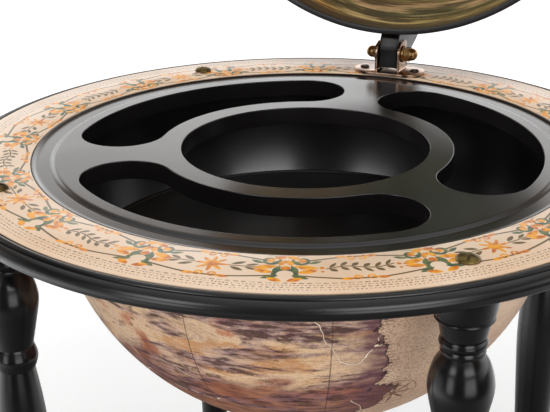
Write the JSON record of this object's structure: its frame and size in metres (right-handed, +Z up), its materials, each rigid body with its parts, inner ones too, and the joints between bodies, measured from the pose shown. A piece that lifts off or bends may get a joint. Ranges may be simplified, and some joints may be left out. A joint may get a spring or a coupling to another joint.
{
  "type": "floor globe bar",
  "caption": "Floor-standing globe bar: a half globe hung in a round board on turned legs with casters, an openwork tray inside and a hinged half-globe lid, shown open.",
  "frame": {"origin": "on the floor, under the middle of the whole object's width and depth with the lid open", "axes": "+Z up, -Y to the front, +Y to the hinge, +X to the right seen from the front"},
  "size_m": [0.4486, 0.571, 1.1366],
  "materials": {
    "black_lacquered_wood": "glossy black lacquer on turned wood",
    "printed_paper": "cream paper printed with brown tick marks and scrollwork, under satin varnish",
    "map_board": "moulded board with an old-style printed map under satin varnish",
    "painted_lining": "painted clouds in gold, olive and brown under gloss varnish",
    "black_plastic": "moulded black plastic, satin to gloss",
    "aged_brass": "antique brass, darkened in the corners",
    "bronzed_steel": "bright bronze-plated sheet steel",
    "dark_steel": "blackened steel, glossy on the arm",
    "black_rubber": "matte black tread"
  },
  "bodies": {
    "stand": {"horizon_ring": "black_lacquered_wood", "ring_band": "printed_paper", "ring_screw_front_right": "aged_brass", "ring_screw_front_left": "aged_brass", "ring_screw_back_right": "aged_brass", "ring_screw_back_left": "aged_brass", "tray": "black_plastic", "bowl_shell": "map_board", "bowl_liner": "black_plastic", "bowl_floor": "black_plastic", "hinge_bracket": "bronzed_steel", "hinge_screw_left": "dark_steel", "hinge_screw_right": "dark_steel", "hinge_bolt": "aged_brass", "hinge_washer_left": "aged_brass", "hinge_washer_right": "aged_brass", "hinge_dome_nut": "aged_brass", "leg_front_right": "black_lacquered_wood", "leg_front_left": "black_lacquered_wood", "leg_back_right": "black_lacquered_wood", "leg_back_left": "black_lacquered_wood", "stretcher_front_right": "black_lacquered_wood", "stretcher_front_left": "black_lacquered_wood", "stretcher_back_right": "black_lacquered_wood", "stretcher_back_left": "black_lacquered_wood", "stretcher_hub": "black_lacquered_wood", "finial": "black_lacquered_wood", "caster_stem_front_right": "aged_brass", "caster_stem_front_left": "aged_brass", "caster_stem_back_right": "aged_brass", "caster_stem_back_left": "aged_brass"},
    "lid": {"lid_shell": "map_board", "lid_lining": "painted_lining", "lid_rim": "black_plastic", "hinge_arm": "dark_steel", "arm_rivet_lower": "dark_steel", "arm_rivet_upper": "dark_steel"},
    "fork_front_right": {"caster_fork_front_right": "aged_brass", "caster_axle_front_right": "aged_brass"},
    "fork_front_left": {"caster_fork_front_left": "aged_brass", "caster_axle_front_left": "aged_brass"},
    "fork_back_right": {"caster_fork_back_right": "aged_brass", "caster_axle_back_right": "aged_brass"},
    "fork_back_left": {"caster_fork_back_left": "aged_brass", "caster_axle_back_left": "aged_brass"},
    "wheel_front_right": {"caster_wheel_front_right": "black_rubber"},
    "wheel_front_left": {"caster_wheel_front_left": "black_rubber"},
    "wheel_back_right": {"caster_wheel_back_right": "black_rubber"},
    "wheel_back_left": {"caster_wheel_back_left": "black_rubber"}
  },
  "joints": [
    {"name": "lid_hinge", "type": "hinge", "parent": "stand", "child": "lid", "pos_m": [0, 0.12615, 0.7798], "axis": [1, 0, 0], "range_deg": [0, 91.5]},
    {"name": "swivel_front_right", "type": "hinge", "parent": "stand", "child": "fork_front_right", "pos_m": [0.1376, -0.19845, 0.046], "axis": [0, 0, 1], "continuous": true},
    {"name": "swivel_front_left", "type": "hinge", "parent": "stand", "child": "fork_front_left", "pos_m": [-0.1376, -0.19845, 0.046], "axis": [0, 0, 1], "continuous": true},
    {"name": "swivel_back_right", "type": "hinge", "parent": "stand", "child": "fork_back_right", "pos_m": [0.1376, 0.07675, 0.046], "axis": [0, 0, 1], "continuous": true},
    {"name": "swivel_back_left", "type": "hinge", "parent": "stand", "child": "fork_back_left", "pos_m": [-0.1376, 0.07675, 0.046], "axis": [0, 0, 1], "continuous": true},
    {"name": "roll_front_right", "type": "hinge", "parent": "fork_front_right", "child": "wheel_front_right", "pos_m": [0.1376, -0.18445, 0.01962], "axis": [1, 0, 0], "continuous": true},
    {"name": "roll_front_left", "type": "hinge", "parent": "fork_front_left", "child": "wheel_front_left", "pos_m": [-0.1376, -0.18445, 0.01962], "axis": [1, 0, 0], "continuous": true},
    {"name": "roll_back_right", "type": "hinge", "parent": "fork_back_right", "child": "wheel_back_right", "pos_m": [0.1376, 0.09075, 0.01962], "axis": [1, 0, 0], "continuous": true},
    {"name": "roll_back_left", "type": "hinge", "parent": "fork_back_left", "child": "wheel_back_left", "pos_m": [-0.1376, 0.09075, 0.01962], "axis": [1, 0, 0], "continuous": true}
  ]
}
